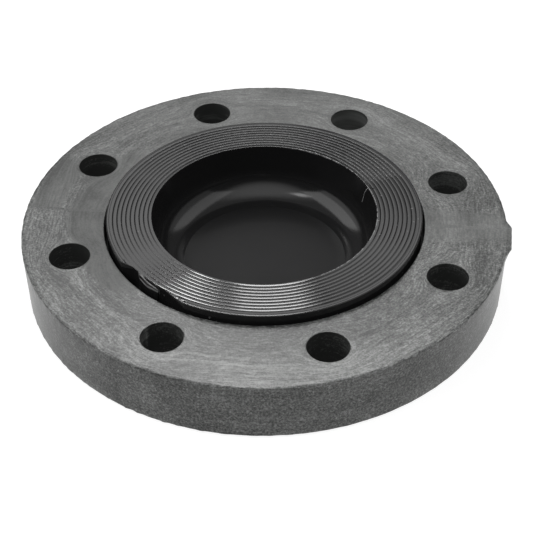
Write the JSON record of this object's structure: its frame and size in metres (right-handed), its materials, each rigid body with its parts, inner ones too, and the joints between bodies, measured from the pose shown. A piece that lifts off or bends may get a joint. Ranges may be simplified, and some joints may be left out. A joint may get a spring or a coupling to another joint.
{
  "type": "blank pipe flange",
  "caption": "Blank flange for a pressure pipe: a thick plastic backing ring with bolt holes and a black closed cup whose grooved collar rests in it.",
  "frame": {"origin": "centre of the backing ring's flat back face, on the axis of the bolt circle", "axes": "+Z along the ring's axis, from the back face towards the grooved sealing face; +X towards the right of the picture"},
  "size_m": [0.2217, 0.22, 0.0325],
  "materials": {
    "ring_plastic": "dark grey glass-filled plastic, dull, with pale flow marks",
    "stub_plastic": "black moulded plastic, semi-gloss"
  },
  "bodies": {
    "root": {"backing_ring": "ring_plastic", "blanking_stub": "stub_plastic"}
  },
  "joints": []
}
